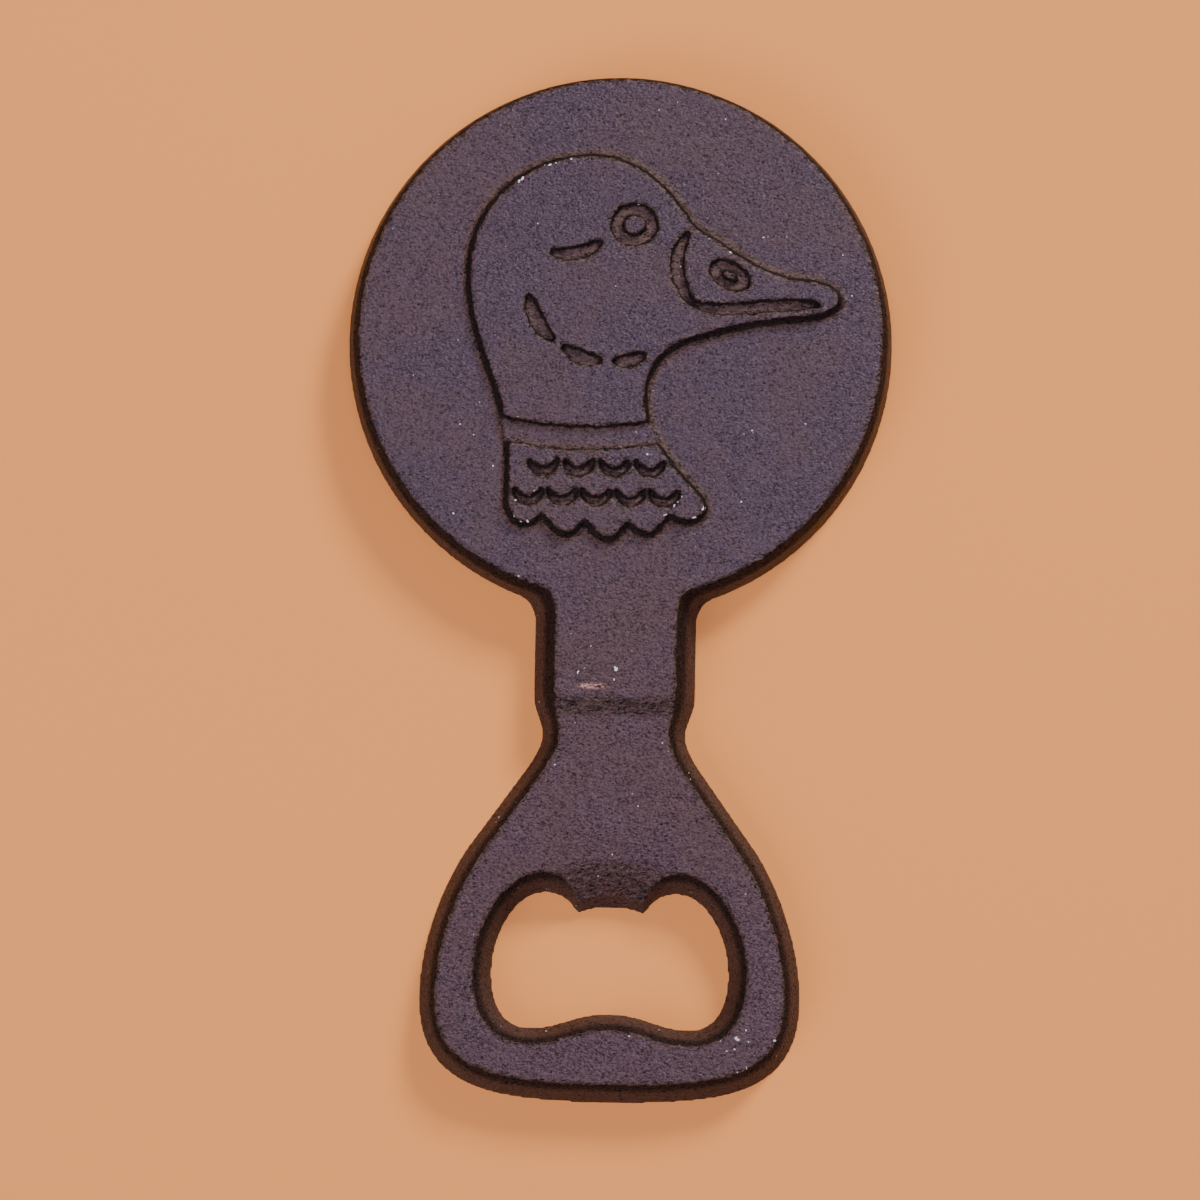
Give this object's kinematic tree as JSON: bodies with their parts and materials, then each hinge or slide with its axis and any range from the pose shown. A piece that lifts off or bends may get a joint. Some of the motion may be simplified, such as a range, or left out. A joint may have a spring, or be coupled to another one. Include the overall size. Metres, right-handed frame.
{
  "type": "bottle opener",
  "caption": "Flat cast-iron bottle opener: a round medallion with a duck's head in low relief, a neck bar, and a flared loop whose tooth lifts a crown cap.",
  "frame": {"origin": "under the middle of the casting, on the plane of its flat back", "axes": "+Y along the opener from the loop to the medallion, +Z out of the relief face, +X the way the duck looks"},
  "size_m": [0.074, 0.14, 0.0077],
  "materials": {
    "lacquered_iron": "sand-cast iron under a thin satin dark brown lacquer, finely grained, browner in hollows and on the walls, with a few bare specks on edges"
  },
  "bodies": {
    "root": {"opener_casting": "lacquered_iron"}
  },
  "joints": []
}
